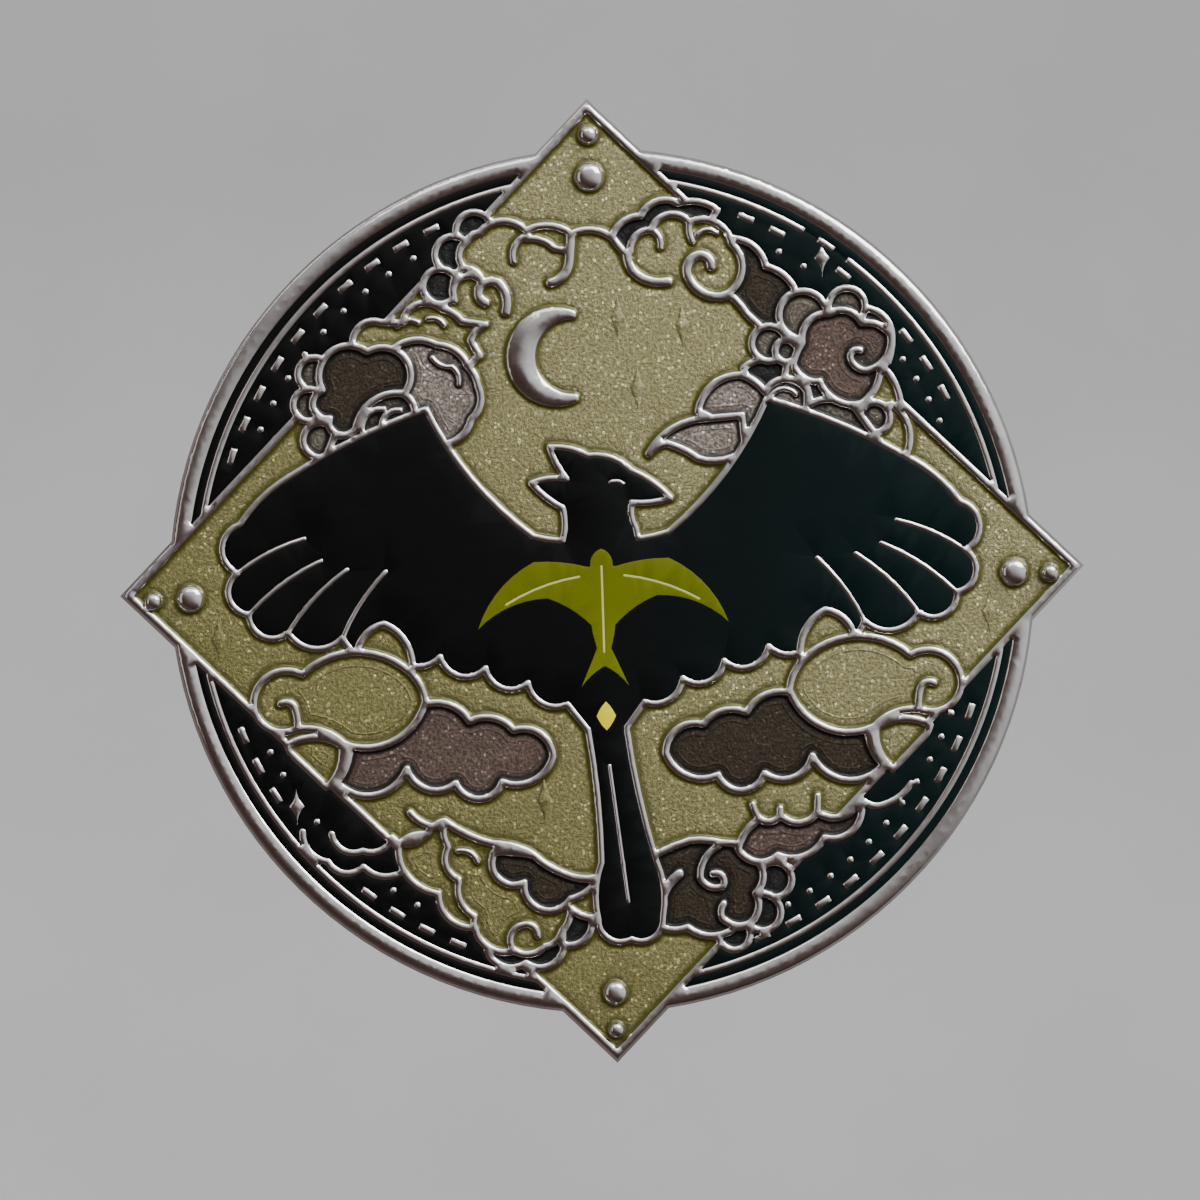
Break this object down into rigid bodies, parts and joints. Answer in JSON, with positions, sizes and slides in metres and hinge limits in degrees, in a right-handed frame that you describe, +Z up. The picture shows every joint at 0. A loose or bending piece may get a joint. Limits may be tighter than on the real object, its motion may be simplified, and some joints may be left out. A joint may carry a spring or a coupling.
{
  "type": "enamel pin",
  "caption": "Round die-cast badge with a square plate set on its point, raised line work, pools of enamel, a printed emblem and clutch posts behind.",
  "frame": {"origin": "middle of the back face, in its plane", "axes": "+Y out of the back, along the posts; +Z up as worn; the face looks along -Y"},
  "size_m": [0.06, 0.0109, 0.06],
  "materials": {
    "nickel_casting": "polished nickel plate over die-cast zinc, sandblasted on the back",
    "black_enamel": "opaque gloss enamel, flush with the metal",
    "black_pool_enamel": "opaque gloss enamel, recessed",
    "gold_enamel": "translucent olive enamel over sandblasted metal",
    "brown_enamel": "translucent dark brown enamel over sandblasted metal",
    "mauve_enamel": "translucent mauve-brown enamel over sandblasted metal",
    "grey_enamel": "translucent grey enamel over sandblasted metal",
    "smoke_enamel": "translucent smoke enamel over sandblasted metal",
    "print_green": "screen-printed yellow-green ink",
    "print_yellow": "screen-printed yellow ink",
    "print_pale": "screen-printed pale ink",
    "post_steel": "turned and plated wire",
    "clutch_cup_steel": "stamped sheet, nickel plated",
    "clutch_spring_steel": "tempered strip, nickel plated"
  },
  "bodies": {
    "badge": {"pin_casting": "nickel_casting", "rim_ring_enamel": "black_enamel", "ring_enamel_nw": "black_enamel", "ring_enamel_ne": "black_enamel", "ring_enamel_sw": "black_enamel", "ring_enamel_se": "black_enamel", "corner_enamel_top": "gold_enamel", "corner_enamel_left": "gold_enamel", "corner_enamel_right": "gold_enamel", "corner_enamel_bottom": "gold_enamel", "sky_enamel": "gold_enamel", "field_enamel_left": "gold_enamel", "field_enamel_right": "gold_enamel", "bird_enamel": "black_enamel", "nw_gold_enamel": "gold_enamel", "nw_grey_enamel": "grey_enamel", "nw_brown_enamel": "brown_enamel", "nw_smoke_enamel": "smoke_enamel", "n_black_enamel": "black_pool_enamel", "ne_black_enamel": "black_pool_enamel", "ne_brown_enamel": "brown_enamel", "ne_smoke_enamel": "smoke_enamel", "ne_mauve_enamel": "mauve_enamel", "ne_grey_enamel": "grey_enamel", "ne_gold_enamel": "gold_enamel", "left_gold_enamel": "gold_enamel", "left_mauve_enamel": "mauve_enamel", "right_gold_enamel": "gold_enamel", "right_brown_enamel": "brown_enamel", "sw_gold_enamel": "gold_enamel", "sw_brown_enamel": "brown_enamel", "sw_black_enamel": "black_pool_enamel", "se_mauve_enamel": "mauve_enamel", "se_brown_enamel": "brown_enamel", "se_black_enamel": "black_pool_enamel", "emblem_print": "print_green", "emblem_tip_print": "print_yellow", "emblem_line_print": "print_pale", "post_left": "post_steel", "post_right": "post_steel"},
    "clutch_left": {"clutch_left_cup": "clutch_cup_steel", "clutch_left_cover": "clutch_cup_steel", "clutch_left_spring": "clutch_spring_steel"},
    "clutch_left_wing_a": {"clutch_left_wing_a": "clutch_spring_steel"},
    "clutch_left_wing_b": {"clutch_left_wing_b": "clutch_spring_steel"},
    "clutch_right": {"clutch_right_cup": "clutch_cup_steel", "clutch_right_cover": "clutch_cup_steel", "clutch_right_spring": "clutch_spring_steel"},
    "clutch_right_wing_a": {"clutch_right_wing_a": "clutch_spring_steel"},
    "clutch_right_wing_b": {"clutch_right_wing_b": "clutch_spring_steel"}
  },
  "joints": [
    {"name": "clutch_left_slide", "type": "slide", "parent": "badge", "child": "clutch_left", "axis": [0, 1, 0], "range_m": [-0.001, 0.012]},
    {"name": "clutch_left_wing_a_pinch", "type": "hinge", "parent": "clutch_left", "child": "clutch_left_wing_a", "pos_m": [-0.01135, 0.0046, 0.004], "axis": [0, 0, 1], "range_deg": [0, 10], "stiffness_Nm_per_rad": 0.06},
    {"name": "clutch_left_wing_b_pinch", "type": "hinge", "parent": "clutch_left", "child": "clutch_left_wing_b", "pos_m": [-0.01565, 0.0046, 0.004], "axis": [0, 0, -1], "range_deg": [0, 10], "stiffness_Nm_per_rad": 0.06},
    {"name": "clutch_right_slide", "type": "slide", "parent": "badge", "child": "clutch_right", "axis": [0, 1, 0], "range_m": [-0.001, 0.012]},
    {"name": "clutch_right_wing_a_pinch", "type": "hinge", "parent": "clutch_right", "child": "clutch_right_wing_a", "pos_m": [0.01565, 0.0046, 0.004], "axis": [0, 0, 1], "range_deg": [0, 10], "stiffness_Nm_per_rad": 0.06},
    {"name": "clutch_right_wing_b_pinch", "type": "hinge", "parent": "clutch_right", "child": "clutch_right_wing_b", "pos_m": [0.01135, 0.0046, 0.004], "axis": [0, 0, -1], "range_deg": [0, 10], "stiffness_Nm_per_rad": 0.06}
  ]
}
